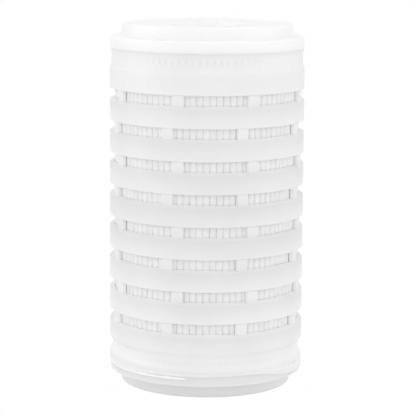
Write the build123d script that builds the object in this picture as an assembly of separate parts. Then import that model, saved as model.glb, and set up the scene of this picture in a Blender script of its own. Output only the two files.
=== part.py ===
from build123d import *
import math
import os

# Pleated filter cartridge with two open ends, in natural polypropylene.
# All sizes are in millimetres. The origin is the middle of the base, +Z runs up the axis,
# and the front of the cartridge faces -Y.

# Overall sizes
overall_length = 127.5
cage_diameter = 68.5
bore_diameter = 28.0

# End caps
flange_thickness = 4.2
boss_height = 4.6
boss_step = 3.8
boss_edge_chamfer = 0.7
lip_width = 1.5

# Gaskets
gasket_thickness = 3.2
gasket_recess = 0.8
gasket_clearance = 0.1

# Outer cage
cage_wall = 1.7
hoop_pitch = 11.2
window_height = 3.8
top_collar_height = 6.8
least_bottom_collar = 5.0
top_collar_relief = 0.5
bottom_collar_relief = 0.8
weld_flare_height = 2.2
windows_per_row = 8
rib_angle = 7.2
rib_relief = 0.4
first_rib_angle = 28.0
row_stagger_angle = 6.5

# Inner core
core_setback = 0.6
core_wall = 2.4
core_window_rows = 4
core_windows_per_row = 8
core_window_angle = 22.0
core_ring_height = 4.0

# Pleated media
pleat_count = 88
media_thickness = 0.5
media_clearance = 0.15
pleat_tip_gap = 0.3
pleat_tip_crown = 0.45
pleat_fold_gap = 0.2

# Radii and heights worked out from the sizes above
bore_radius = bore_diameter / 2
cage_radius = cage_diameter / 2
cage_inner_radius = cage_radius - cage_wall
boss_radius = cage_radius - boss_step
pocket_radius = boss_radius - lip_width
core_inner_radius = bore_radius + core_setback
core_radius = core_inner_radius + core_wall
cap_height = flange_thickness + boss_height
gasket_face_height = cap_height - gasket_recess
cage_bottom = cap_height
cage_top = overall_length - cap_height
cage_length = cage_top - cage_bottom
hoop_height = hoop_pitch - window_height
hoop_room = cage_length - top_collar_height - least_bottom_collar - hoop_height
hoop_count = 1 + int(hoop_room / hoop_pitch)
first_hoop_top = cage_top - top_collar_height
cutter_reach = 1.0


def ring(inner_radius, outer_radius, height):
    """A plain ring that stands on the base plane."""
    return extrude(Circle(outer_radius) - Circle(inner_radius), height)


def turned(points):
    """The solid that a closed outline of (radius, height) points makes when it is turned about Z."""
    return revolve(make_face(Plane.XZ * Polyline(*points, close=True)), Axis.Z)


def wedge(points, angle):
    """The same outline turned through an angle only, with its middle on +X."""
    sector = revolve(make_face(Plane.XZ * Polyline(*points, close=True)), Axis.Z, angle)
    middle = math.degrees(math.atan2(sector.center().Y, sector.center().X))
    return Rot(0, 0, -middle) * sector


def end_cap():
    """One end cap, with the face that meets the cage at height 0 and the boss pointing up. The
    boss is a lip round a flat pocket for the gasket."""
    pocket_floor = gasket_face_height - gasket_thickness
    outline = [
        (bore_radius, 0),
        (cage_radius, 0),
        (cage_radius, flange_thickness),
        (boss_radius, flange_thickness),
        (boss_radius, cap_height - boss_edge_chamfer),
        (boss_radius - boss_edge_chamfer, cap_height),
        (pocket_radius, cap_height),
        (pocket_radius, pocket_floor),
        (bore_radius, pocket_floor),
    ]
    return turned(outline)


def gasket():
    """The flat sealing ring, standing on the floor of the cap's pocket and just clear of its lip.
    Its hole is as wide as the bore, so that the two make one wall."""
    flat_ring = ring(bore_radius, pocket_radius - gasket_clearance, gasket_thickness)
    return Pos(0, 0, gasket_face_height - gasket_thickness) * flat_ring


def cage_blank():
    """The cage before its windows are cut: hoops as one band, a collar above, and below a collar
    that swells out again where its end was melted onto the cap."""
    band_bottom = first_hoop_top - (hoop_count - 1) * hoop_pitch - hoop_height
    bottom_collar_radius = cage_radius - bottom_collar_relief
    top_collar_radius = cage_radius - top_collar_relief
    outline = [
        (cage_inner_radius, cage_bottom),
        (cage_radius, cage_bottom),
        (bottom_collar_radius, cage_bottom + weld_flare_height),
        (bottom_collar_radius, band_bottom - bottom_collar_relief / 2),
        (cage_radius, band_bottom),
        (cage_radius, first_hoop_top),
        (top_collar_radius, first_hoop_top + top_collar_relief / 2),
        (top_collar_radius, cage_top),
        (cage_inner_radius, cage_top),
    ]
    return turned(outline)


def window_cutter(inner_radius):
    """The outline of the gap between two hoops, as (radius, height) points about its own middle,
    from the given radius to just outside the cage."""
    outer_radius = cage_radius + cutter_reach
    half = window_height / 2
    return [(inner_radius, -half), (outer_radius, -half), (outer_radius, half), (inner_radius, half)]


def outer_cage():
    """Hoops joined by ribs that lie a little below them, with staggered windows between the ribs."""
    groove = turned(window_cutter(cage_radius - rib_relief))
    window_step = 360 / windows_per_row
    window = wedge(window_cutter(cage_inner_radius - cutter_reach), window_step - rib_angle)
    cutters = []
    for row in range(hoop_count - 1):
        middle = first_hoop_top - hoop_height - window_height / 2 - row * hoop_pitch
        rib_turn = first_rib_angle - (row % 2) * row_stagger_angle
        cutters.append(Pos(0, 0, middle) * groove)
        for number in range(windows_per_row):
            turn = rib_turn + (number + 0.5) * window_step
            cutters.append(Pos(0, 0, middle) * Rot(0, 0, turn) * window)
    return cage_blank() - cutters


def inner_core():
    """The slotted tube inside the pleats: solid rings with rows of upright windows between them,
    each row turned by half a step from the one below."""
    tube = Pos(0, 0, cage_bottom) * ring(core_inner_radius, core_radius, cage_length)
    window_pitch = (cage_length - core_ring_height) / core_window_rows
    top = window_pitch - core_ring_height
    inside = core_inner_radius - cutter_reach
    outside = core_radius + cutter_reach
    window = wedge([(inside, 0), (outside, 0), (outside, top), (inside, top)], core_window_angle)
    window_step = 360 / core_windows_per_row
    cutters = []
    for row in range(core_window_rows):
        bottom = cage_bottom + core_ring_height + row * window_pitch
        for number in range(core_windows_per_row):
            turn = (number + 0.5 * (row % 2)) * window_step
            cutters.append(Pos(0, 0, bottom) * Rot(0, 0, turn) * window)
    return tube - cutters


def pleat_outlines():
    """The folded sheet's outer and inner outlines, as points about the axis. Each pleat has a
    crowned tip near the cage, which nearly meets its neighbours, and a fold near the core. The
    sheet is about as thick everywhere."""
    step = math.radians(360 / pleat_count)
    tip_radius = cage_inner_radius - media_clearance
    fold_radius = core_radius + media_clearance
    tip_half = tip_radius * math.tan(step / 2) - pleat_tip_gap / 2
    fold_half = fold_radius * math.tan(step / 2) - pleat_fold_gap / 2
    hollow_half = tip_half - media_thickness
    hollow_radius = tip_radius - pleat_tip_crown - media_thickness / 2
    outer, inner = [], []
    for number in range(pleat_count):
        tip = number * step
        fold = tip + step / 2
        outer.append(beside(tip, tip_radius - pleat_tip_crown, -tip_half))
        outer.append(beside(tip, tip_radius, 0))
        outer.append(beside(tip, tip_radius - pleat_tip_crown, tip_half))
        outer.append(beside(fold, fold_radius + media_thickness, 0))
        inner.append(beside(tip, hollow_radius, -hollow_half))
        inner.append(beside(tip, hollow_radius, hollow_half))
        inner.append(beside(fold, fold_radius, -fold_half))
        inner.append(beside(fold, fold_radius, fold_half))
    return outer, inner


def beside(angle, distance, sideways):
    """The point at a distance from the axis along an angle in radians, and then off to its left."""
    x = distance * math.cos(angle) - sideways * math.sin(angle)
    y = distance * math.sin(angle) + sideways * math.cos(angle)
    return (x, y)


def pleated_media():
    """The folded pack, as long as the cage, so that its ends meet both caps."""
    outer, inner = pleat_outlines()
    sheet = make_face(Polyline(*outer, close=True)) - make_face(Polyline(*inner, close=True))
    return Pos(0, 0, cage_bottom) * extrude(sheet, cage_length)


at_top = Pos(0, 0, cage_top)
at_bottom = Pos(0, 0, cage_bottom) * Rot(180, 0, 0)

parts = {
    "outer_cage": outer_cage(),
    "pleated_media": pleated_media(),
    "inner_core": inner_core(),
    "top_end_cap": at_top * end_cap(),
    "bottom_end_cap": at_bottom * end_cap(),
    "top_gasket": at_top * gasket(),
    "bottom_gasket": at_bottom * gasket(),
}

os.makedirs("parts", exist_ok=True)
for name, part in parts.items():
    export_step(part, f"parts/{name}.step")
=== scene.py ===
import math
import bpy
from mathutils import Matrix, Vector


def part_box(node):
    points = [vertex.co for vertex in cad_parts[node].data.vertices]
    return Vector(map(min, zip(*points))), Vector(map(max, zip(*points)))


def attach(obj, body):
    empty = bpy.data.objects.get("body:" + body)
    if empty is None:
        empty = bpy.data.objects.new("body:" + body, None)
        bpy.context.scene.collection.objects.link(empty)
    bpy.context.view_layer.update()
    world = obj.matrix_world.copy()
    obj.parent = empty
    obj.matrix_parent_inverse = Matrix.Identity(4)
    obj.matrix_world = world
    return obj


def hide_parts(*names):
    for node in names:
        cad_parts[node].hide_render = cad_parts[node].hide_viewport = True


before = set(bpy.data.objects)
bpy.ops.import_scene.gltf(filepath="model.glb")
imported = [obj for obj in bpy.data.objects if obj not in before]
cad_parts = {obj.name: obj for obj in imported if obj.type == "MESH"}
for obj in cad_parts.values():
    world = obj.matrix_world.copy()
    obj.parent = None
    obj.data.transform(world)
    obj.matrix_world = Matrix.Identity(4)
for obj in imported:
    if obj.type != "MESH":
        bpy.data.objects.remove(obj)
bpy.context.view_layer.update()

from types import SimpleNamespace

import bpy
import numpy as np
from bpy.props import FloatProperty, FloatVectorProperty, IntProperty, PointerProperty
from mathutils import Matrix

bl_info = {
    "name": "Pleated Filter Cartridge",
    "version": (1, 0, 0),
    "blender": (4, 5, 0),
    "location": "View3D > Sidebar > Cartridge",
    "description": "Builds a pleated filter cartridge in natural polypropylene, and a studio for it",
    "category": "Object",
}

# Sizes in this file are in millimetres and heights are measured from the base, unless a name says
# otherwise. Angles are in degrees, counter-clockwise from +X seen from above, and the front faces -Y.
# Settings hold metres and radians, as all of the program's own do, and in_mm turns them back.
MM = 0.001
# Painted light and shade in the cage's colour: how white the cage is painted at a hoop's lower
# edge, middle and upper edge, a painted shade darkest at the upper edge, and up the whole tube by
# the share of its height, painted light and shade that is darker about the middle.
HOOP_PAINTED_SHADE = (1.0, 0.955, 0.89)
TUBE_PAINTED_LIGHT = [(0.0, 1.0), (0.12, 1.0), (0.45, 0.945), (0.82, 0.985), (1.0, 0.965)]


def box_mm(node_name):
    """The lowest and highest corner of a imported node, in millimetres."""
    low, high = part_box(node_name)
    return np.array(low) / MM, np.array(high) / MM


CAGE_LOW, CAGE_HIGH = box_mm("outer_cage")
CORE_LOW, CORE_HIGH = box_mm("inner_core")
PACK_LOW, PACK_HIGH = box_mm("pleated_media")
TOP_CAP_LOW, TOP_CAP_HIGH = box_mm("top_end_cap")


def linear(hex_value):
    """An sRGB hex value as linear red, green and blue."""
    srgb = np.array([int(hex_value[i:i + 2], 16) / 255 for i in (0, 2, 4)])
    return tuple(np.where(srgb <= 0.04045, srgb / 12.92, ((srgb + 0.055) / 1.055) ** 2.4))


# Settings that a user would change

def length(name, default, description):
    """A setting for a size, whose default is given in millimetres."""
    return FloatProperty(name=name, default=float(default) * MM, description=description, min=0.0, precision=5,
                         unit="LENGTH")


def angle(name, default, description):
    """A setting for an angle, whose default is given in degrees."""
    return FloatProperty(name=name, default=math.radians(default), description=description, subtype="ANGLE")


def count(name, default, description):
    """A setting for a whole number of one or more."""
    return IntProperty(name=name, default=default, description=description, min=1)


def colour(name, default, description):
    """A setting for a colour, whose default is given as an sRGB hex value."""
    return FloatVectorProperty(name=name, default=linear(default), description=description, min=0.0, max=1.0,
                               size=3, subtype="COLOR")


def light_power(name, default, description):
    """A setting for a lamp's power, in watts."""
    return FloatProperty(name=name, default=default, description=description, min=0.0, unit="POWER")


def plain_number(name, default, description):
    """A setting for a plain number."""
    return FloatProperty(name=name, default=default, description=description, min=0.0)


def in_mm(settings):
    """The values of a group of settings, with its lengths in millimetres and its angles in degrees."""
    values = SimpleNamespace()
    for name in type(settings).__annotations__:
        value = getattr(settings, name)
        unit = settings.bl_rna.properties[name].unit
        if unit == "LENGTH":
            value = round(value / MM, 4)
        elif unit == "ROTATION":
            value = round(math.degrees(value), 4)
        setattr(values, name, value)
    return values


class CartridgeCageSizes(bpy.types.PropertyGroup):
    """Sizes of the outer cage, a tube of hoops joined by short ribs."""

    outer_radius: length("Outer radius", CAGE_HIGH[0], "Radius over the hoops")
    wall: length("Wall", 1.7, "Thickness of the hoops")
    bottom: length("Bottom", CAGE_LOW[2], "Height of the cage's lower end")
    top: length("Top", CAGE_HIGH[2], "Height of the cage's upper end")
    hoops: count("Hoops", 9, "Number of hoops, one above the other")
    hoop_pitch: length("Hoop pitch", 11.2, "Distance from one hoop to the next")
    top_collar: length("Top collar", 6.8, "Plain height above the first hoop")
    gap_outside: length("Gap outside", 4.15, "Height of the gap between hoops, at their outside")
    gap_inside: length("Gap inside", 3.3, "Height of the same gap at the inside, less by the mould's draft")
    hoop_rounding: length("Hoop rounding", 0.4, "Radius of the hoops' edges")
    windows: count("Windows", 8, "Windows in each row")
    rib_width: angle("Rib width", 7.2, "Angle that a rib takes up")
    rib_relief: length("Rib relief", 0.4, "How far the ribs lie below the hoops")
    rib_draft: length("Rib draft", 0.25, "How far a rib's side slopes")
    first_rib: angle("First rib", 28.0, "Angle of a rib in the top row")
    stagger: angle("Stagger", 6.5, "Turn of every second row")
    top_collar_relief: length("Top collar relief", 0.6, "How far the top collar lies below the hoops")
    top_swell: length("Top swell", 0.27, "How far the top collar swells again at the cap, where it was melted")
    top_slope: length("Top slope", 1.8, "Height over which the first hoop falls to the top collar")
    bottom_collar_relief: length("Bottom collar relief", 1.0, "How far the bottom collar lies below the hoops")
    bottom_collar_front: length("Bottom collar front", 0.26, "The same at the front and at the back")
    bottom_slope: length("Bottom slope", 1.9, "Height over which the last hoop falls to the bottom collar")
    flare_start: length("Flare start", 3.6, "Height above the lower end at which the melted part starts to swell")
    flare_rise_left: length("Flare rise left", 1.4, "Height over which it swells to the full radius at the left")
    flare_rise_right: length("Flare rise right", 4.3, "The same at the right, where it slumped over the cap")


class CartridgeCoreSizes(bpy.types.PropertyGroup):
    """Sizes of the slotted core inside the pleats."""

    outer_radius: length("Outer radius", CORE_HIGH[0], "Radius over the core")
    wall: length("Wall", 2.4, "Thickness of the core")
    bottom: length("Bottom", CORE_LOW[2], "Height of the core's lower end")
    top: length("Top", CORE_HIGH[2], "Height of the core's upper end")
    rows: count("Rows", 4, "Rows of windows")
    ring_height: length("Ring height", 4.0, "Height of the solid rings between the rows")
    windows: count("Windows", 8, "Windows in each row")
    window_width: angle("Window width", 22.0, "Angle that a window takes up")
    window_draft: length("Window draft", 0.15, "How far a window's sides slope")
    rounding: length("Rounding", 0.4, "Radius of the windows' edges")


class CartridgePackSizes(bpy.types.PropertyGroup):
    """Sizes of the pleated sheet."""

    pleats: count("Pleats", 88, "Number of pleats round the pack")
    tip_radius: length("Tip radius", 32.48, "Radius that the pleats' tips reach")
    tip_width: length("Tip width", 2.28, "Width of a pleat at its tip, a little less than from one to the next")
    tip_depth: length("Tip depth", 0.6, "Length of the rounded part of a tip")
    squareness: plain_number("Squareness", 2.7, "Power of a tip's curve: 2 is an ellipse, and more is boxier")
    fold_radius: length("Fold radius", 17.15, "Radius that the inner folds reach")
    fold_bend: length("Fold bend", 0.51, "Outer radius of the bend at an inner fold")
    sheet: length("Sheet", 0.5, "Thickness of the sheet")
    bottom: length("Bottom", PACK_LOW[2], "Height of the pack's lower end")
    top: length("Top", PACK_HIGH[2], "Height of the pack's upper end")
    sway: length("Sway", 0.25, "How far the tips wander to the side")
    sink: length("Sink", 0.12, "How far a tip may lie back from the cage")
    levels: count("Levels", 15, "Rows of points up the sheet")


class CartridgeCapSizes(bpy.types.PropertyGroup):
    """Sizes of an end cap and its flat gasket, as heights from the face that meets the cage."""

    bore_radius: length("Bore radius", 14.0, "Radius of the hole")
    flange_radius: length("Flange radius", TOP_CAP_HIGH[0] - 0.3, "Radius of the flange, as it shrank in cooling")
    flange_height: length("Flange height", 4.2, "Thickness of the flange")
    flange_rounding: length("Flange rounding", 0.45, "Radius of the flange's free edge")
    seam_depth: length("Seam depth", 0.1, "Depth of the open seam under the top flange, at the front left")
    seam_height: length("Seam height", 0.035, "Height of the open seam")
    boss_radius: length("Boss radius", TOP_CAP_HIGH[0] - 4.1, "Radius of the boss")
    boss_draft: length("Boss draft", 0.15, "How far the boss tapers towards its top")
    cap_height: length("Cap height", TOP_CAP_HIGH[2] - TOP_CAP_LOW[2], "Height over all")
    boss_rounding: length("Boss rounding", 0.6, "Radius of the boss's outer edge")
    lip_width: length("Lip width", 1.2, "Width of the lip round the gasket")
    gasket_thickness: length("Gasket thickness", 3.2, "Thickness of the gasket")
    gasket_recess: length("Gasket recess", 0.8, "How far the gasket lies below the lip")
    gasket_clearance: length("Gasket clearance", 0.1, "Gap between gasket and lip")
    gasket_rounding: length("Gasket rounding", 0.3, "Radius of the gasket's edges")


class CartridgeWeldSizes(bpy.types.PropertyGroup):
    """Sizes of the plastic that melted over the bottom seam when the cap was welded on."""

    thickness: length("Thickness", 0.45, "Thickness of the melted skirt")
    rounding: length("Rounding", 0.16, "Radius of its free edge")
    front_reach: length("Front reach", 0.75, "How far the skirt covers the cap at the front")
    side_reach: length("Side reach", 1.1, "The same at the back and at the left, over the bead")
    right_reach: length("Right reach", 3.7, "The same at the right, where it slumped most")
    bead_radius: length("Bead radius", 0.66, "Radius of the bead of melted plastic at the bottom seam")
    bead_drop: length("Bead drop", 1.48, "How far the bead lies below the bottom seam")
    bead_start: angle("Bead start", 172.0, "Angle at which the bead starts, at the left")
    bead_end: angle("Bead end", 259.5, "Angle at which it ends, near the front")


class CartridgeFinishes(bpy.types.PropertyGroup):
    """Colours of the finishes."""

    cage: colour("Cage", "F4F4F4", "Natural polypropylene of the cage")
    media: colour("Media", "F4F4F4", "White fleece of the pleats")
    core: colour("Core", "FDFDFD", "Natural polypropylene of the core")
    weld: colour("Weld", "F6F6F6", "Natural polypropylene that melted at the seams")
    # Painted highlight: the bead is whiter than the melted skin, in part for the thick plastic's own whiteness.
    bead: colour("Bead", "FFFFFF", "Natural polypropylene of the bead, whiter where it is thick")
    cap: colour("Cap", "FCFCFC", "Natural polypropylene of the end caps")
    gasket: colour("Gasket", "FCFCFB", "White silicone of the gaskets")
    floor: colour("Floor", "F4F4F4", "White paper of the floor")
    # Painted shade: the floor's grey patch stands in for the shade at the cartridge's foot.
    shade: colour("Shade", "DADADA", "Grey of the floor's shaded patch under the cartridge")


class CartridgeStudio(bpy.types.PropertyGroup):
    """Camera and light."""

    focal_length: plain_number("Focal length", 163.4, "Lens in millimetres")
    camera_distance: length("Camera distance", 663.6, "Level distance from the axis")
    camera_height: length("Camera height", 167.2, "Height above the base")
    camera_pitch: angle("Camera pitch", 8.773, "Angle that the camera looks down")
    camera_roll: angle("Camera roll", 0.283, "Turn of the camera about its own axis")
    camera_lean: angle("Camera lean", 0.097, "Lean of the cartridge to the right, taken into the camera")
    centre_x: plain_number("Centre X", 206.1, "Optical centre across, in pixels")
    centre_y: plain_number("Centre Y", 198.9, "Optical centre down, in pixels")
    sky_level: plain_number("Sky level", 0.845, "Light from all round")
    left_power: light_power("Left power", 1.5, "Power of the soft light at the left")
    right_power: light_power("Right power", 1.25, "Power of the soft light at the right")
    front_power: light_power("Front power", 1.3, "Power of the soft light above the camera")
    inner_power: light_power("Inner power", 0.003, "Power of the light in the bore")
    # Radius of the floor's painted shade patch.
    shade_radius: length("Shade radius", 48.0, "Radius of the floor's shaded patch")


# Mesh helpers

def grid_quads(rows, columns, closed=False):
    """Corner numbers of the quads of a grid of rows x columns points: each quad goes one step along
    the columns, then one along the rows. A closed grid joins its last column to its first."""
    row, column = np.meshgrid(np.arange(rows - 1), np.arange(columns if closed else columns - 1), indexing="ij")
    after = (column + 1) % columns
    corners = (row * columns + column, row * columns + after, (row + 1) * columns + after,
               (row + 1) * columns + column)
    return np.stack(corners, -1).reshape(-1, 4)


def put_mesh(name, points, quads, material):
    """A smooth object made of quads, from points in millimetres. Points that no quad uses are dropped."""
    used, quads = np.unique(quads, return_inverse=True)
    quads = quads.reshape(-1, 4)
    points = points[used] * MM
    mesh = bpy.data.meshes.new(name)
    mesh.vertices.add(len(points))
    mesh.vertices.foreach_set("co", points.astype(np.float32).ravel())
    mesh.loops.add(quads.size)
    mesh.loops.foreach_set("vertex_index", quads.astype(np.int32).ravel())
    mesh.polygons.add(len(quads))
    mesh.polygons.foreach_set("loop_start", np.arange(0, quads.size, 4, dtype=np.int32))
    mesh.polygons.foreach_set("loop_total", np.full(len(quads), 4, dtype=np.int32))
    mesh.update(calc_edges=True)
    if mesh.validate():
        raise RuntimeError(name + " has broken faces")
    mesh.polygons.foreach_set("use_smooth", np.ones(len(quads), dtype=bool))
    mesh.materials.append(material)
    piece = bpy.data.objects.new(name, mesh)
    bpy.context.scene.collection.objects.link(piece)
    return piece


def stand_for(piece, node):
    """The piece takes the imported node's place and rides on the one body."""
    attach(piece, "root")
    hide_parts(node)


def cylinder_points(radius, turn, height):
    """Points from arrays of radius, angle in degrees and height: x is radius times cosine, y is
    radius times sine, and z is height."""
    turn = np.radians(turn)
    return np.stack([radius * np.cos(turn), radius * np.sin(turn), height + 0 * turn], -1).reshape(-1, 3)


def rounded_outline(corners, radii, steps=6):
    """A closed outline with its corners rounded. Each corner's arc touches both of its sides at the
    radius over the tangent of half the corner's angle, and is sampled evenly by angle. A radius of 0
    leaves the corner sharp. The points run in the order of the corners."""
    corners = np.asarray(corners, float)
    radii = np.asarray(radii, float)[:, None]
    before = np.roll(corners, 1, 0) - corners
    after = np.roll(corners, -1, 0) - corners
    before /= np.linalg.norm(before, axis=1, keepdims=True)
    after /= np.linalg.norm(after, axis=1, keepdims=True)
    half = np.arccos(np.clip((before * after).sum(1, keepdims=True), -1, 1)) / 2
    middle = before + after
    middle /= np.linalg.norm(middle, axis=1, keepdims=True)
    centre = corners + middle * radii / np.sin(half)
    start = corners + before * radii / np.tan(half) - centre
    end = corners + after * radii / np.tan(half) - centre
    sweep = np.pi - 2 * half
    share = np.linspace(0, 1, steps)[None, :, None]
    spread = np.maximum(np.sin(sweep), 1e-9)[:, None, :]
    arc = (start[:, None] * np.sin((1 - share) * sweep[:, None]) + end[:, None] * np.sin(share * sweep[:, None]))
    points = centre[:, None] + arc / spread
    return points.reshape(-1, 2)


def ring_mesh(name, radius, height, material):
    """A closed ring about the axis from arrays of radius and height, one row for each point of its
    section and one column for each of the evenly spaced angles. The section runs counter-clockwise
    with radius to the right."""
    points, segments = radius.shape
    turn = np.arange(segments)[None] * 360 / segments + 0 * radius
    quads = grid_quads(points, segments, closed=True)
    last = quads[:segments, :2] + (points - 1) * segments
    wrap = np.concatenate([last, quads[:segments, [1, 0]]], 1)
    return put_mesh(name, cylinder_points(radius, turn, height), np.concatenate([quads, wrap]), material)


def turned_piece(name, outline, segments, material):
    """A closed outline of (radius, height) points turned about the axis."""
    apart = np.linalg.norm(np.diff(outline, axis=0), axis=1) > 1e-6
    outline = np.concatenate([outline[:1], outline[1:][apart]])
    radius, height = outline[:, :1], outline[:, 1:]
    flat = np.zeros((1, segments))
    return ring_mesh(name, radius + flat, height + flat, material)


# Windowed tubes: the cage and the core

def drafted_edge(depth, run, rounding, steps=5):
    """The rising edge of a raised face, as offsets from where its wall starts and heights above the
    tube's inside: a straight wall that leans by run over depth, with a point close to its foot that
    keeps its smooth shading flat, an arc of the given radius that touches wall and face, and a point
    on the face just past it."""
    lean = math.atan2(run, depth)
    reach = rounding / math.tan((math.pi / 2 + lean) / 2)
    centre = np.array([run + reach, depth - rounding])
    turn = np.linspace(math.pi - lean, math.pi / 2, steps)
    arc = centre + rounding * np.stack([np.cos(turn), np.sin(turn)], -1)
    wall = np.array([[0.0, 0.0], arc[0] * 0.04])
    return np.concatenate([wall, arc, [[centre[0] + rounding * 0.6, depth]]])


def windowed_tube(name, material, inner_radius, height_edge, side_edge, gaps, turns, windows, window_width,
                  bottom, top, limit_heights, limit, across=10):
    """A tube with rows of windows, as one closed shell. Its outside is a grid over angle and height,
    whose radius is the inner radius plus the larger of two edges: height_edge, which rises with the
    distance above or below a row's windows, and side_edge, which rises with the distance beside a
    window. limit(height, angle) caps the result at the tube's own radius, and limit_heights are more
    heights at which the grid needs points for it. Every row has its own turn, and the grid turns
    from one to the next in the middle of the ring between them. The inside is the same grid at the
    inner radius, and shares its points round the windows."""
    step = 360 / windows
    girth = math.radians(1) * (inner_radius + side_edge[-1, 1])
    solid = step - window_width
    side = side_edge[:, 0] / girth
    middle = np.linspace(side[-1], solid - side[-1], 4)[1:-1]
    open_part = np.linspace(solid, step, across)[1:-1]
    column = np.concatenate([side, middle, solid - side[::-1], open_part])
    beside = np.interp(np.minimum(column, solid - column), side_edge[:, 0] / girth, side_edge[:, 1])
    is_open = np.concatenate([np.zeros(2 * len(side) + 1, bool), np.ones(len(open_part) + 1, bool)])
    shift = -solid / 2
    column = (column[None] + np.arange(windows)[:, None] * step).ravel() + shift
    beside = np.tile(beside, windows)
    open_column = np.tile(is_open, windows)

    rise = height_edge[:, 0]
    levels, turn, in_gap = [], [], []
    order = np.argsort([low for low, high in gaps])
    gaps = [gaps[i] for i in order]
    turns = [turns[i] for i in order]
    below = bottom
    for number, (low, high) in enumerate(gaps):
        previous = turns[number - 1] if number else turns[0]
        here = turns[number]
        ends = (below + (rise[-1] if number else 0.0), low - rise[-1])
        span = np.linspace(ends[0], ends[1], 5)[(1 if number else 0):-1]
        levels += list(span) + list(low - rise[::-1]) + list(np.linspace(low, high, 4)[1:-1]) + list(high + rise)
        bend = (span - ends[0]) / (ends[1] - ends[0])
        bend = bend * bend * (3 - 2 * bend)
        turn += list(previous + (here - previous) * bend) + [here] * (2 * len(rise) + 2)
        in_gap += [False] * len(span) + [False] * (len(rise) - 1) + [True] * 3 + [False] * len(rise)
        below = high
    span = np.linspace(below + rise[-1], top, 5)[1:]
    levels += list(span)
    turn += [turns[-1]] * len(span)
    in_gap += [False] * len(span)
    level, turn, in_gap = np.array(levels), np.array(turn), np.array(in_gap)

    level, turn, in_gap = add_levels(level, turn, in_gap, limit_heights)
    edge = np.full(len(level), height_edge[-1, 1])
    for low, high in gaps:
        away = np.maximum(np.maximum(low - level, level - high), 0)
        edge = np.minimum(edge, np.interp(away, rise, height_edge[:, 1]))
    raised = np.maximum(edge[:, None], beside[None])
    around = turn[:, None] + column[None]
    outer_radius = np.minimum(inner_radius + raised, limit(level[:, None], around))
    high_up = level[:, None] + 0 * around
    outside = cylinder_points(outer_radius + 0 * around, around, high_up)
    inside = cylinder_points(inner_radius + 0 * around, around, high_up)
    rows, columns = around.shape
    hole = in_gap[:-1, None] & open_column[None]
    corners = grid_quads(rows, columns, closed=True)
    hole = hole.ravel()
    touches_hole = np.zeros(rows * columns, bool)
    touches_hole[corners[hole].ravel()] = True
    touches_wall = np.zeros(rows * columns, bool)
    touches_wall[corners[~hole].ravel()] = True
    shared = touches_hole & touches_wall
    inner_number = np.arange(rows * columns) + rows * columns
    inner_number[shared] = np.arange(rows * columns)[shared]
    walls = corners[~hole]
    inner_walls = inner_number[walls][:, ::-1]
    first, last = np.arange(columns), np.arange(columns) + (rows - 1) * columns
    bottom_end = np.stack([inner_number[first], inner_number[np.roll(first, -1)], np.roll(first, -1), first], -1)
    top_end = np.stack([last, np.roll(last, -1), inner_number[np.roll(last, -1)], inner_number[last]], -1)
    quads = np.concatenate([walls, inner_walls, bottom_end, top_end])
    return put_mesh(name, np.concatenate([outside, inside]), quads, material)


def add_levels(level, turn, in_gap, extra):
    """Puts more levels into an ascending list, where they are not there yet. A new level takes its
    turn by straight interpolation, and is in a gap where the level below it is."""
    extra = np.array([value for value in extra if np.abs(level - value).min() > 1e-4])
    merged = np.concatenate([level, extra])
    order = np.argsort(merged, kind="stable")
    below = np.clip(np.searchsorted(level, extra) - 1, 0, len(level) - 1)
    merged_turn = np.concatenate([turn, np.interp(extra, level, turn)])
    merged_gap = np.concatenate([in_gap, in_gap[below]])
    return merged[order], merged_turn[order], merged_gap[order]


def ease(share):
    """A smooth step from 0 to 1: three times the square less twice the cube of the share."""
    share = np.clip(share, 0, 1)
    return share * share * (3 - 2 * share)


def slump(around):
    """How far the melted plastic slumped at an angle, from 0 at the left to 1 at the right: half of
    one plus the angle's cosine."""
    return 0.5 + 0.5 * np.cos(np.radians(around))


def collar_relief(sizes, around):
    """How far the bottom collar lies below the hoops at an angle: it goes from the front's value to
    the sides' with the square of the angle's cosine."""
    more = sizes.bottom_collar_relief - sizes.bottom_collar_front
    return sizes.bottom_collar_front + more * np.cos(np.radians(around)) ** 2


def melted_radius(sizes, level, around):
    """The radius of the cage's melted lower end: from the bottom collar it swells to nearly the full
    radius by a smooth step, over a short height at the left and a tall one at the right."""
    relief = collar_relief(sizes, around)
    rise = sizes.flare_rise_left + (sizes.flare_rise_right - sizes.flare_rise_left) * slump(around)
    swell = ease((sizes.bottom + sizes.flare_start - level) / rise)
    return sizes.outer_radius - relief + (relief - 0.01) * swell


def cage_limit(sizes, band_low, band_high):
    """The heights at which the cage's own outline bends, and its radius as a function of height and
    angle. It is the full radius over the band of hoops, and falls by a smooth step to the top
    collar above, which swells again at the cap, and to the bottom collar below, where the melted
    end is added."""
    foot = band_low - sizes.bottom_slope * 0.4
    crest = band_high - sizes.top_slope * 0.1
    swell_start = sizes.top - 1.3

    def radius(level, around):
        above = sizes.top_collar_relief * ease((level - crest) / sizes.top_slope)
        below = collar_relief(sizes, around) * ease(1 - (level - foot) / sizes.bottom_slope)
        body = sizes.outer_radius - above - below + sizes.top_swell * ease((level - swell_start) / 1.1)
        return np.where(level < foot, melted_radius(sizes, level, around), body + 0 * around)

    heights = np.concatenate([
        np.linspace(sizes.bottom, sizes.bottom + sizes.flare_start, 15),
        np.linspace(foot, foot + sizes.bottom_slope, 7),
        np.linspace(crest, crest + sizes.top_slope, 7),
        np.linspace(swell_start, sizes.top - 0.2, 5), [sizes.top - 0.04],
    ])
    return heights, radius


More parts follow.
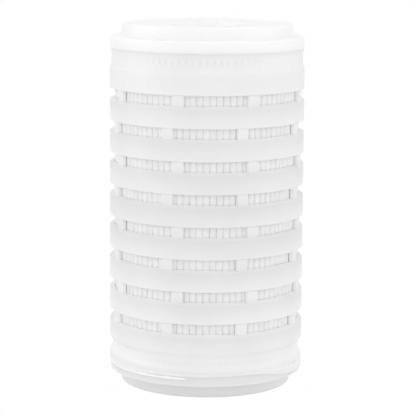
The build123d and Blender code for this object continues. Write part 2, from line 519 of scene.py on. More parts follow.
class CARTRIDGE_OT_cage(bpy.types.Operator):
    """Builds the outer cage with its hoops, ribs and staggered windows"""

    bl_idname = "cartridge.cage"
    bl_label = "Outer cage"

    def execute(self, context):
        sizes = in_mm(context.scene.cartridge_cage)
        band_high = sizes.top - sizes.top_collar
        hoop = sizes.hoop_pitch - sizes.gap_outside
        first_gap = band_high - hoop - sizes.gap_outside / 2
        centres = first_gap - np.arange(sizes.hoops - 1) * sizes.hoop_pitch
        band_low = centres[-1] - sizes.gap_outside / 2 - hoop
        half = sizes.gap_inside / 2
        gaps = [(centre - half, centre + half) for centre in centres]
        turns = [sizes.first_rib - (row % 2) * sizes.stagger for row in range(len(gaps))]
        slope = (sizes.gap_outside - sizes.gap_inside) / 2
        height_edge = drafted_edge(sizes.wall, slope, sizes.hoop_rounding)
        side_edge = drafted_edge(sizes.wall - sizes.rib_relief, sizes.rib_draft, sizes.hoop_rounding * 0.8)
        heights, limit = cage_limit(sizes, band_low, band_high)
        material = moulded_polypropylene("Natural PP, moulded cage", context.scene.cartridge_finishes.cage, sizes,
                                         context.scene.cartridge_pack.pleats)
        piece = windowed_tube("cage_moulding", material, sizes.outer_radius - sizes.wall,
                              height_edge, side_edge, gaps, turns, sizes.windows,
                              360 / sizes.windows - sizes.rib_width, sizes.bottom, sizes.top, heights, limit)
        stand_for(piece, "outer_cage")
        return {"FINISHED"}


class CARTRIDGE_OT_core(bpy.types.Operator):
    """Builds the slotted core inside the pleats"""

    bl_idname = "cartridge.core"
    bl_label = "Inner core"

    def execute(self, context):
        sizes = in_mm(context.scene.cartridge_core)
        pitch = (sizes.top - sizes.bottom - sizes.ring_height) / sizes.rows
        lows = sizes.bottom + sizes.ring_height + np.arange(sizes.rows) * pitch
        gaps = [(low, low + pitch - sizes.ring_height) for low in lows]
        half_step = 180 / sizes.windows
        turns = [half_step + (row % 2) * half_step for row in range(sizes.rows)]
        edge = drafted_edge(sizes.wall, sizes.window_draft, sizes.rounding)
        material = natural_core_plastic("Natural PP, moulded core", context.scene.cartridge_finishes.core)
        piece = windowed_tube("core_moulding", material, sizes.outer_radius - sizes.wall, edge, edge, gaps,
                              turns, sizes.windows, sizes.window_width, sizes.bottom, sizes.top, [],
                              lambda level, around: sizes.outer_radius + 0 * around, across=8)
        stand_for(piece, "inner_core")
        return {"FINISHED"}


# The pleated sheet

def pleat_outline(sizes, side):
    """One face of the folded sheet over one pleat, as points that lie along the pleat and sideways
    from it. The tip is a superellipse, on which the powers of the shares of half width and depth
    add up to one, so that it is boxy and nearly meets the next. The fold near the core is a half
    circle on the line between two pleats, and straight flanks join the two. side is +1 for the face
    towards the cage and -1 for the face towards the core, a sheet's thickness further in."""
    off = side * sizes.sheet / 2
    start = sizes.tip_radius - sizes.tip_depth
    depth = sizes.tip_depth - sizes.sheet / 2 + off
    half_width = sizes.tip_width / 2 - sizes.sheet / 2 + off
    turn = np.radians(np.linspace(-90, 90, 13))
    power = 2 / sizes.squareness
    along = start + depth * np.abs(np.cos(turn)) ** power
    across = half_width * np.sign(turn) * np.abs(np.sin(turn)) ** power
    tip = np.stack([along, across], -1)
    bend = sizes.fold_bend - sizes.sheet / 2 - off
    turn = np.radians(np.linspace(-90, 90, 6))
    along = sizes.fold_radius + sizes.fold_bend - bend * np.cos(turn)
    across = bend * np.sin(turn)
    half_step = math.pi / sizes.pleats
    fold = np.stack([along * math.cos(half_step) - across * math.sin(half_step),
                     along * math.sin(half_step) + across * math.cos(half_step)], -1)
    near = tip[-1] + (fold[0] - tip[-1]) * 0.08
    return np.concatenate([[near * [1, -1]], tip, [near], fold])


class CARTRIDGE_OT_pack(bpy.types.Operator):
    """Builds the folded pack of filter sheet"""

    bl_idname = "cartridge.pack"
    bl_label = "Pleated pack"

    def execute(self, context):
        sizes = in_mm(context.scene.cartridge_pack)
        step = 360 / sizes.pleats
        number = np.arange(sizes.pleats)
        height = np.linspace(sizes.bottom, sizes.top, sizes.levels)
        rng = np.random.default_rng(7)
        sway, sink = pleat_wander(rng, number, height, sizes)
        faces = []
        for side in (1, -1):
            outline = pleat_outline(sizes, side)
            reach = np.hypot(outline[:, 0], outline[:, 1])
            turn = np.degrees(np.arctan2(outline[:, 1], outline[:, 0]))
            share = np.clip((reach - sizes.fold_radius) / (sizes.tip_radius - sizes.fold_radius), 0, 1)
            radius = reach[None, None] - sink[:, :, None] * share[None, None] ** 2
            sideways = np.degrees(sway[:, :, None] * share[None, None] ** 2 / sizes.tip_radius)
            around = turn[None, None] + number[None, :, None] * step + sideways
            tall = height[:, None, None] + 0 * around
            faces.append(cylinder_points(radius + 0 * around, around, tall))
        columns = sizes.pleats * len(outline)
        rows = sizes.levels
        quads = grid_quads(rows, columns, closed=True)
        back = quads[:, ::-1] + rows * columns
        first = np.arange(columns)
        after = np.roll(first, -1)
        last = first + (rows - 1) * columns
        last_after = after + (rows - 1) * columns
        inner = rows * columns
        bottom_end = np.stack([first + inner, after + inner, after, first], -1)
        top_end = np.stack([last, last_after, last_after + inner, last + inner], -1)
        material = filter_fleece("Nonwoven PP, pleated fleece", context.scene.cartridge_finishes.media)
        piece = put_mesh("pleated_sheet", np.concatenate(faces),
                         np.concatenate([quads, back, bottom_end, top_end]), material)
        stand_for(piece, "pleated_media")
        return {"FINISHED"}


def pleat_wander(rng, number, height, sizes):
    """How far each pleat's tip lies to the side and back at each height, in millimetres. The sway is
    a sum of sine waves that climb the pack and go round it, so that neighbours move nearly
    together. The sink is a sum of slow waves up the pack, each with its own seeded phase for every
    pleat, plus a fixed share that differs from pleat to pleat."""
    up = (height[:, None] - sizes.bottom) / (sizes.top - sizes.bottom)
    turn = 2 * np.pi * number[None] / sizes.pleats
    sway = np.zeros((len(height), len(number)))
    sink = np.zeros((len(height), len(number)))
    for wave, laps, size in ((0.8, 2, 0.5), (1.9, 5, 0.3), (4.3, 7, 0.2)):
        phase = rng.uniform(0, 2 * np.pi, 1 + len(number))
        sway += size * np.sin(2 * np.pi * wave * up + laps * turn + phase[0])
        sink += size * np.sin(2 * np.pi * wave * up + phase[None, 1:])
    offset = rng.uniform(0, 1, len(number))[None]
    sink = sizes.sink * (0.35 + 0.25 * sink + 0.3 * offset)
    return sizes.sway * sway, np.maximum(sink, 0.0)


# The ends

def cap_outline(sizes, seam_depth, seam_height):
    """The section of an end cap, from the face that meets the cage at height 0 up to its lip. The
    edge at the seam is cut back by the seam's depth over the seam's height."""
    bore, flange, boss = sizes.bore_radius, sizes.flange_radius, sizes.boss_radius
    pocket = boss - sizes.lip_width
    floor = sizes.cap_height - sizes.gasket_recess - sizes.gasket_thickness
    cut, shelf = flange - seam_depth, seam_height
    corners = [(bore, 0), (cut, 0), (cut, shelf), (flange, shelf), (flange, sizes.flange_height),
               (boss, sizes.flange_height), (boss - sizes.boss_draft, sizes.cap_height),
               (pocket, sizes.cap_height), (pocket, floor), (bore, floor)]
    radii = [0.15, 0.004, 0.004, 0.004, sizes.flange_rounding, 0.35, sizes.boss_rounding, 0.35, 0.2, 0.25]
    return rounded_outline(corners, radii)


def gasket_outline(sizes):
    """The section of a flat gasket, in the same heights as the cap's."""
    outer = sizes.boss_radius - sizes.lip_width - sizes.gasket_clearance
    high = sizes.cap_height - sizes.gasket_recess
    low = high - sizes.gasket_thickness
    corners = [(sizes.bore_radius, low), (outer, low), (outer, high), (sizes.bore_radius, high)]
    return rounded_outline(corners, [sizes.gasket_rounding * 0.3] * 2 + [sizes.gasket_rounding] * 2)


def from_end(outline, seat, downwards):
    """The outline set on its seat height, upside down and in the opposite order where it points down."""
    if not downwards:
        return outline + [0, seat]
    return (outline * [1, -1] + [0, seat])[::-1]


class CARTRIDGE_OT_caps(bpy.types.Operator):
    """Builds the two end caps, and the seam that stayed open under the top one at the front left.
    The opening's share goes from nothing to all and back by smooth steps of the angle"""

    bl_idname = "cartridge.caps"
    bl_label = "End caps"

    def execute(self, context):
        sizes = in_mm(context.scene.cartridge_caps)
        cage = in_mm(context.scene.cartridge_cage)
        material = cap_polypropylene("Natural PP, moulded cap", context.scene.cartridge_finishes.cap,
                                     cage.bottom - sizes.flange_height + sizes.flange_rounding, cage.bottom)
        turn = np.arange(360.0)
        opening = ease((292 - turn) / 30) * ease((turn - 120) / 40)
        for name, node_name, seat, downwards in (("top_cap_moulding", "top_end_cap", cage.top, False),
                                                 ("bottom_cap_moulding", "bottom_end_cap", cage.bottom, True)):
            shut = from_end(cap_outline(sizes, 0.015, 0.01), seat, downwards)
            cut = from_end(cap_outline(sizes, sizes.seam_depth, sizes.seam_height), seat, downwards)
            share = 0 * opening if downwards else opening
            outline = shut[:, None] + (cut - shut)[:, None] * share[None, :, None]
            piece = ring_mesh(name, outline[..., 0], outline[..., 1], material)
            stand_for(piece, node_name)
        return {"FINISHED"}


def melted_skirt(name, radius_at, root, free, sizes, material):
    """A thin skirt of melted plastic that hangs over a seam. root and free are the heights of its two
    edges at each of the evenly spaced angles. Its outside is radius_at(height, angle), less at the
    free edge, where it turns in along a quarter of an ellipse: a circle at the left, and a long
    shallow one at the right, where it slumped and thinned out. Its inside is a plain ring."""
    turn = np.arange(len(free))[None] * 360 / len(free)
    share = np.array([0, 0.02, 0.06, 0.12, 0.2, 0.3, 0.45, 0.6, 0.8, 1.0])[:, None]
    level = free + (root - free) * share
    thinned = slump(turn) ** 2.5
    into = np.clip(1 - np.abs(level - free) / (sizes.rounding * (1 + 7 * thinned)), 0, 1)
    outer = radius_at(level, turn) - sizes.rounding * (1 + 0.8 * thinned) * (1 - np.sqrt(1 - into ** 2))
    inner = (outer.min(0) - sizes.thickness + sizes.rounding)[None]
    radius = np.concatenate([inner, outer, inner])
    height = np.concatenate([level[:1], level, level[-1:]])
    upwards = root.mean() > free.mean()
    order = slice(None) if upwards else slice(None, None, -1)
    return ring_mesh(name, radius[order], height[order], material)


def melted_bead(name, cage, sizes, material):
    """The thin bead that the melted edge left along the front left of the bottom seam: a tube along
    an arc round the axis at a steady height, half sunk in the flange. Its own radius grows from
    zero at the left, wavers, and ends short near the front."""
    along = np.linspace(0, 1, 120)
    turn = sizes.bead_start + (sizes.bead_end - sizes.bead_start) * along
    taper = ease(along * 4) * np.sqrt(np.clip((1 - along) * 40, 0, 1))
    waver = 1 + 0.1 * np.sin(along * 31) + 0.07 * np.sin(along * 67 + 1)
    size = (sizes.bead_radius * taper * waver)[:, None]
    around = np.arange(10)[None] * 2 * np.pi / 10
    radius = np.minimum(cage.outer_radius - sizes.bead_radius + size * np.cos(around), cage.outer_radius)
    height = cage.bottom - sizes.bead_drop + size * np.sin(around)
    points = cylinder_points(radius, turn[:, None] + 0 * radius, height)
    return put_mesh(name, points, grid_quads(120, 10, closed=True)[:, ::-1], material)


class CARTRIDGE_OT_welds(bpy.types.Operator):
    """Builds the melted plastic over the bottom seam and its bead"""

    bl_idname = "cartridge.welds"
    bl_label = "Melted seam"

    def execute(self, context):
        sizes = in_mm(context.scene.cartridge_welds)
        cage = in_mm(context.scene.cartridge_cage)
        skin = melted_polypropylene("Natural PP, melted skin", context.scene.cartridge_finishes.weld)
        turn = np.arange(360.0)
        from_front = np.abs(turn - 270)
        front = ease((60 - from_front) / 35)
        right = slump(turn) ** 2.5
        reach = sizes.side_reach + (sizes.right_reach - sizes.side_reach) * right
        reach = reach + (sizes.front_reach - reach) * front
        skirt = melted_skirt("bottom_weld_skirt", lambda level, around: melted_radius(cage, level, around) + 0.005,
                              np.full(360, cage.bottom + 0.4), cage.bottom - reach, sizes,
                              skin)
        # Painted highlight: the bead is a whiter copy of the melted skin, in part for the thick plastic's own
        # whiteness.
        white = melted_polypropylene("Natural PP, melted bead", context.scene.cartridge_finishes.bead)
        bead = melted_bead("weld_bead", cage, sizes, white)
        for piece in (skirt, bead):
            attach(piece, "root")
        return {"FINISHED"}


class CARTRIDGE_OT_gaskets(bpy.types.Operator):
    """Builds the two flat gaskets"""

    bl_idname = "cartridge.gaskets"
    bl_label = "Gaskets"

    def execute(self, context):
        sizes = in_mm(context.scene.cartridge_caps)
        cage = in_mm(context.scene.cartridge_cage)
        material = gasket_silicone("Silicone, moulded gasket", context.scene.cartridge_finishes.gasket)
        for name, node_name, seat, downwards in (("top_gasket_ring", "top_gasket", cage.top, False),
                                                 ("bottom_gasket_ring", "bottom_gasket", cage.bottom, True)):
            outline = from_end(gasket_outline(sizes), seat, downwards)
            stand_for(turned_piece(name, outline, 256, material), node_name)
        return {"FINISHED"}


# Materials

def node(material, kind, settings=None, links=None):
    """Adds a shader node. settings are its own attributes or, by socket name or number, the values
    of its inputs, and links join its inputs to other nodes' outputs."""
    made = material.node_tree.nodes.new(kind)
    for key, value in (settings or {}).items():
        if isinstance(key, str) and hasattr(made, key):
            setattr(made, key, value)
        else:
            made.inputs[key].default_value = value
    for key, (source, output) in (links or {}).items():
        material.node_tree.links.new(source.outputs[output], made.inputs[key])
    return made


def new_material(name):
    """An empty node material and its output node."""
    material = bpy.data.materials.new(name)
    material.use_nodes = True
    material.node_tree.nodes.clear()
    return material, node(material, "ShaderNodeOutputMaterial")


def finish_material(material, output, shader):
    """Joins the shader to the output."""
    material.node_tree.links.new(shader.outputs[0], output.inputs["Surface"])
    return material


def clouded(material, place, colour_value, dip, size_mm):
    """The base colour, darkened by up to the given share where a soft noise of the given size in
    millimetres is low. The noise's scale is one over its size in metres."""
    noise = node(material, "ShaderNodeTexNoise", {"Scale": 1000 / size_mm, "Detail": 3.0, "Roughness": 0.5},
                 {"Vector": place})
    ramp = node(material, "ShaderNodeValToRGB", None, {"Fac": (noise, 0)})
    set_stops(ramp, [(0.32, np.array(colour_value) * (1 - dip)), (0.62, np.array(colour_value))])
    return ramp


def set_stops(ramp, stops):
    """Gives a colour ramp its stops, as pairs of position and colour or grey level."""
    while len(ramp.color_ramp.elements) < len(stops):
        ramp.color_ramp.elements.new(1.0)
    for element, (position, value) in zip(ramp.color_ramp.elements, stops):
        element.position = position
        element.color = tuple(np.broadcast_to(value, 3)) + (1.0,)


def moulded_polypropylene(name, colour_value, cage, pleats):
    """Natural polypropylene, injection moulded and not painted. It is milky: light goes a
    millimetre or two into it, so edges look soft and pale. Its colour also carries painted light
    and shade: below the first hoop, each hoop is painted darker towards its upper edge, as painted
    shade; the tube is painted whiter near both ends and darker about the middle of its height; and
    the cut edges of the windows and the inside are painted the whitest, as a painted glow. The
    mould's eroded face leaves a fine satin grain, and the flow of the melt faint clouds. Just off
    both ends the pleats press against the thin wall over part of its girth, and show through it
    there as short upright ticks."""
    material, output = new_material(name)
    place = node(material, "ShaderNodeTexCoord")
    where = (place, "Object")
    cloud = clouded(material, where, colour_value, 0.03, 14)
    parts = node(material, "ShaderNodeSeparateXYZ", None, {0: where})

    first_edge = (cage.top - cage.top_collar - cage.hoop_pitch + cage.gap_outside) * MM
    hoop = node(material, "ShaderNodeMapRange",
                {"clamp": False, 1: first_edge, 2: first_edge + cage.hoop_pitch * MM, 3: 0.0, 4: 1.0}, {0: (parts, 2)})
    hoop = node(material, "ShaderNodeClamp", {"Min": 1.0 - cage.hoops, "Max": 0.0}, {"Value": (hoop, 0)})
    hoop = node(material, "ShaderNodeMath", {"operation": "FRACT"}, {0: (hoop, 0)})
    # Painted shade: each hoop is painted darker towards its upper edge.
    taper = node(material, "ShaderNodeValToRGB", None, {"Fac": (hoop, 0)})
    set_stops(taper, [(0.0, HOOP_PAINTED_SHADE[0]), (0.3, HOOP_PAINTED_SHADE[1]), (0.61, HOOP_PAINTED_SHADE[2]), (0.7, 0.97),
                      (1.0, HOOP_PAINTED_SHADE[0])])
    height = node(material, "ShaderNodeMapRange", {1: cage.bottom * MM, 2: cage.top * MM, 3: 0.0, 4: 1.0},
                  {0: (parts, 2)})
    # Painted light and shade: the tube is painted whiter near its ends and darker about the middle of its height.
    ends = node(material, "ShaderNodeValToRGB", None, {"Fac": (height, 0)})
    set_stops(ends, TUBE_PAINTED_LIGHT)
    tone = node(material, "ShaderNodeMath", {"operation": "MULTIPLY"}, {0: (taper, 0), 1: (ends, 0)})

    turn = node(material, "ShaderNodeMath", {"operation": "ARCTAN2"}, {0: (parts, 1), 1: (parts, 0)})
    stripe = node(material, "ShaderNodeMath", {"operation": "MULTIPLY", 1: float(pleats)}, {0: (turn, 0)})
    stripe = node(material, "ShaderNodeMath", {"operation": "COSINE"}, {0: (stripe, 0)})
    stripe = node(material, "ShaderNodeMapRange", {1: -0.4, 2: 1.0, 3: 0.0, 4: 1.0}, {0: (stripe, 0)})
    band = node(material, "ShaderNodeValToRGB", None, {"Fac": (height, 0)})
    tall = cage.top - cage.bottom
    set_stops(band, [(2.6 / tall, 0.0), (3.8 / tall, 0.5), (5.0 / tall, 0.0), (1 - 4.3 / tall, 0.0),
                     (1 - 3.4 / tall, 1.0), (1 - 2.0 / tall, 0.9), (1 - 1.3 / tall, 0.0)])
    patch = node(material, "ShaderNodeTexNoise", {"Scale": 1000 / 6, "Detail": 1.0}, {"Vector": where})
    patch = node(material, "ShaderNodeMapRange", {1: 0.35, 2: 0.6, 3: 0.45, 4: 1.0}, {0: (patch, 0)})
    pressed = node(material, "ShaderNodeMapRange", {1: math.radians(-132), 2: math.radians(-52), 3: 0.0, 4: 1.0},
                   {0: (turn, 0)})
    pressed = node(material, "ShaderNodeValToRGB", None, {"Fac": (pressed, 0)})
    set_stops(pressed, [(0.0, 0.0), (0.15, 1.0), (0.8, 0.8), (1.0, 0.0)])
    ticks = node(material, "ShaderNodeMath", {"operation": "MULTIPLY"}, {0: (stripe, 0), 1: (band, 0)})
    ticks = node(material, "ShaderNodeMath", {"operation": "MULTIPLY"}, {0: (ticks, 0), 1: (patch, 0)})
    ticks = node(material, "ShaderNodeMath", {"operation": "MULTIPLY"}, {0: (ticks, 0), 1: (pressed, 0)})
    ticks = node(material, "ShaderNodeMapRange", {1: 0.0, 2: 1.0, 3: 1.0, 4: 0.93}, {0: (ticks, 0)})
    tone = node(material, "ShaderNodeMath", {"operation": "MULTIPLY"}, {0: (tone, 0), 1: (ticks, 0)})
    flat = node(material, "ShaderNodeVectorMath", {"operation": "MULTIPLY", 1: (1.0, 1.0, 0.0)}, {0: where})
    radius = node(material, "ShaderNodeVectorMath", {"operation": "LENGTH"}, {0: (flat, 0)})
    # Painted light: the windows' cut edges and the inside, more than about a millimetre in from the outer radius, are
    # painted up to 8% whiter.
    edges = node(material, "ShaderNodeMapRange", {1: (cage.outer_radius - 1.05) * MM, 2: (cage.outer_radius - 0.5) * MM,
                                                  3: 1.08, 4: 1.0}, {0: (radius, "Value")})
    tone = node(material, "ShaderNodeMath", {"operation": "MULTIPLY"}, {0: (tone, 0), 1: (edges, 0)})
    base = node(material, "ShaderNodeVectorMath", {"operation": "SCALE"}, {0: (cloud, 0), "Scale": (tone, 0)})

    grain = node(material, "ShaderNodeTexNoise", {"Scale": 1000 / 0.7, "Detail": 2.0}, {"Vector": where})
    flow = node(material, "ShaderNodeTexNoise", {"Scale": 1000 / 9, "Detail": 1.0}, {"Vector": where})
    slow = node(material, "ShaderNodeBump", {"Strength": 0.25, "Distance": 0.0002}, {"Height": (flow, 0)})
    bump = node(material, "ShaderNodeBump", {"Strength": 0.1, "Distance": 0.00004},
                {"Height": (grain, 0), "Normal": (slow, 0)})
    rough = node(material, "ShaderNodeMapRange", {1: 0.3, 2: 0.7, 3: 0.38, 4: 0.5}, {0: (flow, 0)})
    shader = node(material, "ShaderNodeBsdfPrincipled",
                  {"IOR": 1.49, "Subsurface Weight": 0.3, "Subsurface Scale": 0.001,
                   "Subsurface Radius": (1.0, 1.0, 1.0)},
                  {"Base Color": (base, 0), "Roughness": (rough, 0), "Normal": (bump, 0)})
    return finish_material(material, output, shader)


def melted_polypropylene(name, colour_value):
    """Natural polypropylene that was melted and set again as a thin skin. It has the cage's colour,
    and lost the mould's grain, so it is smooth and a little glossier, with soft ripples of about
    2 mm from the flow."""
    material, output = new_material(name)
    place = node(material, "ShaderNodeTexCoord")
    cloud = clouded(material, (place, "Object"), colour_value, 0.03, 5)
    ripple = node(material, "ShaderNodeTexNoise", {"Scale": 1000 / 2, "Detail": 2.0}, {"Vector": (place, "Object")})
    bump = node(material, "ShaderNodeBump", {"Strength": 0.5, "Distance": 0.0001}, {"Height": (ripple, 0)})
    shader = node(material, "ShaderNodeBsdfPrincipled", {"IOR": 1.49, "Roughness": 0.3},
                  {"Base Color": (cloud, 0), "Normal": (bump, 0)})
    return finish_material(material, output, shader)


def cap_polypropylene(name, colour_value, low, high):
    """Natural polypropylene of the caps. They are thick, so they look whiter and more solid than the
    cage, with a smoother satin from a polished mould and only the faintest clouds. The bottom
    flange, between the two heights given in millimetres, is painted greyer, as a painted shade at
    the cartridge's foot."""
    material, output = new_material(name)
    place = node(material, "ShaderNodeTexCoord")
    cloud = clouded(material, (place, "Object"), colour_value, 0.015, 18)
    parts = node(material, "ShaderNodeSeparateXYZ", None, {0: (place, "Object")})
    height = node(material, "ShaderNodeMapRange", {1: 0.0, 2: high * MM, 3: 0.0, 4: 1.0}, {0: (parts, 2)})
    # Painted shade: the bottom flange is painted greyer than the rest of the cap.
    shade = node(material, "ShaderNodeValToRGB", None, {"Fac": (height, 0)})
    set_stops(shade, [(low / high - 0.02, 1.0), (low / high + 0.05, 0.89), (0.98, 0.86), (1.0, 1.0)])
    base = node(material, "ShaderNodeVectorMath", {"operation": "MULTIPLY"}, {0: (cloud, 0), 1: (shade, 0)})
    grain = node(material, "ShaderNodeTexNoise", {"Scale": 1000 / 0.8, "Detail": 2.0}, {"Vector": (place, "Object")})
    flow = node(material, "ShaderNodeTexNoise", {"Scale": 1000 / 11, "Detail": 1.0}, {"Vector": (place, "Object")})
    slow = node(material, "ShaderNodeBump", {"Strength": 0.03, "Distance": 0.0002}, {"Height": (flow, 0)})
    bump = node(material, "ShaderNodeBump", {"Strength": 0.05, "Distance": 0.00004},
                {"Height": (grain, 0), "Normal": (slow, 0)})
    rough = node(material, "ShaderNodeMapRange", {1: 0.3, 2: 0.7, 3: 0.32, 4: 0.44}, {0: (flow, 0)})
    shader = node(material, "ShaderNodeBsdfPrincipled",
                  {"IOR": 1.49, "Subsurface Weight": 0.35, "Subsurface Scale": 0.0015,
                   "Subsurface Radius": (1.0, 1.0, 1.0)},
                  {"Base Color": (base, 0), "Roughness": (rough, 0), "Normal": (bump, 0)})
    return finish_material(material, output, shader)


def natural_core_plastic(name, colour_value):
    """Natural polypropylene of the core, as the cage's but with more grain from its plainer mould."""
    material, output = new_material(name)
    place = node(material, "ShaderNodeTexCoord")
    cloud = clouded(material, (place, "Object"), colour_value, 0.04, 10)
    grain = node(material, "ShaderNodeTexNoise", {"Scale": 1000 / 0.9, "Detail": 3.0}, {"Vector": (place, "Object")})
    bump = node(material, "ShaderNodeBump", {"Strength": 0.15, "Distance": 0.00006}, {"Height": (grain, 0)})
    shader = node(material, "ShaderNodeBsdfPrincipled",
                  {"IOR": 1.49, "Roughness": 0.5, "Subsurface Weight": 0.1, "Subsurface Scale": 0.001,
                   "Subsurface Radius": (1.0, 1.0, 1.0)},
                  {"Base Color": (cloud, 0), "Normal": (bump, 0)})
    return finish_material(material, output, shader)


def filter_fleece(name, colour_value):
    """Spun-bonded polypropylene fleece, pleated. It is matt and very white, with a web of fine
    fibres and the small bonded dots of a calender, which are drawn about twice as coarse as they
    are so that they show. The deep folds stay pale because light passes through the sheet."""
    material, output = new_material(name)
    place = node(material, "ShaderNodeTexCoord")
    cloud = clouded(material, (place, "Object"), colour_value, 0.06, 2.2)
    stretched = node(material, "ShaderNodeMapping", {"Scale": (1.0, 1.0, 0.35)}, {"Vector": (place, "Object")})
    fibres = node(material, "ShaderNodeTexNoise", {"Scale": 1000 / 0.35, "Detail": 4.0, "Distortion": 1.2},
                  {"Vector": (stretched, 0)})
    dots = node(material, "ShaderNodeTexVoronoi", {"Scale": 1000 / 0.9}, {"Vector": (place, "Object")})
    coarse = node(material, "ShaderNodeBump", {"Strength": 0.25, "Distance": 0.00008}, {"Height": (dots, 0)})
    bump = node(material, "ShaderNodeBump", {"Strength": 0.35, "Distance": 0.00006},
                {"Height": (fibres, 0), "Normal": (coarse, 0)})
    shader = node(material, "ShaderNodeBsdfPrincipled",
                  {"Roughness": 0.9, "IOR": 1.45, "Sheen Weight": 0.15, "Sheen Roughness": 0.6,
                   "Subsurface Weight": 0.05, "Subsurface Scale": 0.0003, "Subsurface Radius": (1.0, 1.0, 1.0)},
                  {"Base Color": (cloud, 0), "Normal": (bump, 0)})
    return finish_material(material, output, shader)


def gasket_silicone(name, colour_value):
    """Translucent white silicone rubber, pressed in a mould. It is a little cloudier and duller than
    the cap round it, with a fine dry skin."""
    material, output = new_material(name)
    place = node(material, "ShaderNodeTexCoord")
    cloud = clouded(material, (place, "Object"), colour_value, 0.012, 8)
    skin = node(material, "ShaderNodeTexNoise", {"Scale": 1000 / 0.5, "Detail": 3.0}, {"Vector": (place, "Object")})
    bump = node(material, "ShaderNodeBump", {"Strength": 0.05, "Distance": 0.00005}, {"Height": (skin, 0)})
    shader = node(material, "ShaderNodeBsdfPrincipled",
                  {"IOR": 1.41, "Roughness": 0.55, "Subsurface Weight": 0.3, "Subsurface Scale": 0.001,
                   "Subsurface Radius": (1.0, 1.0, 1.0)},
                  {"Base Color": (cloud, 0), "Normal": (bump, 0)})
    return finish_material(material, output, shader)


def studio_floor(name, colour_value, shade_value, radius_mm):
    """White matt paper. A soft grey patch under the cartridge is painted shade: it darkens the light
    that the floor throws onto the cartridge's foot. To the camera, and in gloss, it is nearly all
    plain white, and the rest of its shading keeps the cartridge's faint shadow."""
    material, output = new_material(name)
    rays = node(material, "ShaderNodeLightPath")
    place = node(material, "ShaderNodeTexCoord")
    away = node(material, "ShaderNodeVectorMath", {"operation": "LENGTH"}, {0: (place, "Object")})
    away = node(material, "ShaderNodeMapRange", {1: 0.0, 2: 2 * radius_mm * MM, 3: 0.0, 4: 1.0}, {0: (away, "Value")})
    # Painted shade: the floor is grey near the axis, for the light it throws onto the cartridge's foot; the camera sees
    # almost none of it.
    patch = node(material, "ShaderNodeValToRGB", None, {"Fac": (away, 0)})
    set_stops(patch, [(0.42, shade_value), (0.58, colour_value)])
    matt = node(material, "ShaderNodeBsdfDiffuse", None, {"Color": (patch, 0)})
    white = node(material, "ShaderNodeEmission", {"Strength": 1.0, "Color": (1, 1, 1, 1)})
    seen = node(material, "ShaderNodeMath", {"operation": "MAXIMUM"},
                {0: (rays, "Is Camera Ray"), 1: (rays, "Is Glossy Ray")})
    share = node(material, "ShaderNodeMath", {"operation": "MULTIPLY", 1: 0.99}, {0: (seen, 0)})
    mixed = node(material, "ShaderNodeMixShader", None, {0: (share, 0), 1: (matt, 0), 2: (white, 0)})
    return finish_material(material, output, mixed)


# Studio

def camera_matrix(studio):
    """The camera's place and axes in metres. It looks level and forward along +Y, then down by the
    pitch. The cartridge's slight lean is taken into the camera by turning all its vectors about Y,
    and the roll turns the camera's right and up about its own axis."""
    pitch, roll, lean = (math.radians(value) for value in (studio.camera_pitch, studio.camera_roll,
                                                           studio.camera_lean))
    back_turn = np.array([[1, 0, -lean], [0, 1, 0], [lean, 0, 1]])
    place = back_turn @ np.array([0, -studio.camera_distance, studio.camera_height]) * MM
    right = back_turn @ np.array([1, 0, 0])
    up = back_turn @ np.array([0, math.sin(pitch), math.cos(pitch)])
    rolled_right = math.cos(roll) * right + math.sin(roll) * up
    rolled_up = math.cos(roll) * up - math.sin(roll) * right
    backward = np.cross(rolled_right, rolled_up)
    matrix = np.eye(4)
    matrix[:3, 0], matrix[:3, 1], matrix[:3, 2], matrix[:3, 3] = rolled_right, rolled_up, backward, place
    return Matrix(matrix.tolist())


def soft_light(name, place, target, size, power):
    """A square area light at a place in metres that faces a target."""
    lamp = bpy.data.lights.new(name, "AREA")
    lamp.size = size
    lamp.energy = power
    lamp_object = bpy.data.objects.new(name, lamp)
    back = np.array(place) - np.array(target)
    back = back / np.linalg.norm(back)
    right = np.cross([0, 0, 1], back) if abs(back[2]) < 0.99 else np.array([1.0, 0, 0])
    right = right / np.linalg.norm(right)
    matrix = np.eye(4)
    matrix[:3, 0], matrix[:3, 1], matrix[:3, 2], matrix[:3, 3] = right, np.cross(back, right), back, place
    lamp_object.matrix_world = Matrix(matrix.tolist())
    lamp_object.visible_camera = False
    bpy.context.scene.collection.objects.link(lamp_object)
    return lamp_object


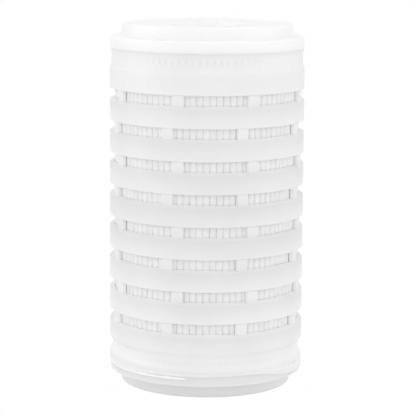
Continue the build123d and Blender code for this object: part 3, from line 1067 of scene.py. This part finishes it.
class CARTRIDGE_OT_studio(bpy.types.Operator):
    """Builds the floor, the soft lights, the white surroundings and the camera. A weak light in the
    bore stands for what the milky walls let through from all round"""

    bl_idname = "cartridge.studio"
    bl_label = "Studio"

    def execute(self, context):
        scene = context.scene
        studio = in_mm(scene.cartridge_studio)
        edge = np.linspace(-6000, 6000, 9)
        across, deep = np.meshgrid(edge, edge, indexing="xy")
        points = np.stack([across, deep, 0 * across - 0.02], -1).reshape(-1, 3)
        floor = put_mesh("paper_floor", points, grid_quads(9, 9), studio_floor(
            "Matt paper, studio floor", scene.cartridge_finishes.floor, scene.cartridge_finishes.shade,
            studio.shade_radius))
        middle = (0, 0, 0.064)
        soft_light("left_softbox", (-1.0, -0.05, 0.3), middle, 0.8, studio.left_power)
        soft_light("right_softbox", (0.98, -0.2, 0.3), middle, 0.8, studio.right_power)
        soft_light("front_softbox", (-0.05, -0.8, 0.75), middle, 0.8, studio.front_power)
        glow = bpy.data.lights.new("light_through_the_walls", "POINT")
        glow.energy = studio.inner_power
        glow.shadow_soft_size = 0.008
        glow_object = bpy.data.objects.new("light_through_the_walls", glow)
        glow_object.location = (0, 0, 0.1)
        glow_object.visible_camera = False
        scene.collection.objects.link(glow_object)
        white_surroundings(scene, studio.sky_level)
        camera = bpy.data.objects.new("studio_camera", bpy.data.cameras.new("studio_camera"))
        camera.data.lens = studio.focal_length
        camera.data.sensor_width = 36
        camera.data.shift_x = (208 - studio.centre_x) / 416
        camera.data.shift_y = (studio.centre_y - 208) / 416
        camera.data.clip_end = 100
        camera.matrix_world = camera_matrix(studio)
        scene.collection.objects.link(camera)
        scene.camera = camera
        scene.view_settings.view_transform = "Standard"
        scene.cycles.max_bounces = 24
        scene.cycles.diffuse_bounces = 16
        return {"FINISHED"}


def white_surroundings(scene, level):
    """A world that is plain white to the camera and in gloss, and lights everything else evenly."""
    world = bpy.data.worlds.new("White surroundings")
    world.use_nodes = True
    world.node_tree.nodes.clear()
    output = node(world, "ShaderNodeOutputWorld")
    rays = node(world, "ShaderNodeLightPath")
    seen = node(world, "ShaderNodeMath", {"operation": "MAXIMUM"},
                {0: (rays, "Is Camera Ray"), 1: (rays, "Is Glossy Ray")})
    strength = node(world, "ShaderNodeMapRange", {1: 0.0, 2: 1.0, 3: level, 4: 1.0}, {0: (seen, 0)})
    light = node(world, "ShaderNodeBackground", {"Color": (1, 1, 1, 1)}, {"Strength": (strength, 0)})
    world.node_tree.links.new(light.outputs[0], output.inputs["Surface"])
    scene.world = world


class CARTRIDGE_PT_panel(bpy.types.Panel):
    """Lists the steps that build the cartridge and its studio"""

    bl_idname = "CARTRIDGE_PT_panel"
    bl_label = "Filter cartridge"
    bl_space_type = "VIEW_3D"
    bl_region_type = "UI"
    bl_category = "Cartridge"

    def draw(self, context):
        """One button for each step, then a box for each group of settings."""
        for step in STEPS:
            self.layout.operator(step.bl_idname)
        for group in SETTINGS:
            box = self.layout.box()
            values = getattr(context.scene, group)
            for name in values.__annotations__:
                box.prop(values, name)


SETTINGS = {
    "cartridge_cage": CartridgeCageSizes,
    "cartridge_core": CartridgeCoreSizes,
    "cartridge_pack": CartridgePackSizes,
    "cartridge_caps": CartridgeCapSizes,
    "cartridge_welds": CartridgeWeldSizes,
    "cartridge_finishes": CartridgeFinishes,
    "cartridge_studio": CartridgeStudio,
}
STEPS = (CARTRIDGE_OT_cage, CARTRIDGE_OT_core, CARTRIDGE_OT_pack, CARTRIDGE_OT_caps, CARTRIDGE_OT_welds,
         CARTRIDGE_OT_gaskets, CARTRIDGE_OT_studio)


def register():
    """Adds the settings, the steps and the panel."""
    for name, group in SETTINGS.items():
        bpy.utils.register_class(group)
        setattr(bpy.types.Scene, name, PointerProperty(type=group))
    for step in STEPS:
        bpy.utils.register_class(step)
    bpy.utils.register_class(CARTRIDGE_PT_panel)


def unregister():
    """Takes them away again."""
    bpy.utils.unregister_class(CARTRIDGE_PT_panel)
    for step in reversed(STEPS):
        bpy.utils.unregister_class(step)
    for name, group in SETTINGS.items():
        delattr(bpy.types.Scene, name)
        bpy.utils.unregister_class(group)


def main():
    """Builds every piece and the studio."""
    register()
    bpy.ops.cartridge.cage()
    bpy.ops.cartridge.core()
    bpy.ops.cartridge.pack()
    bpy.ops.cartridge.caps()
    bpy.ops.cartridge.welds()
    bpy.ops.cartridge.gaskets()
    bpy.ops.cartridge.studio()


if __name__ == "__main__":
    main()
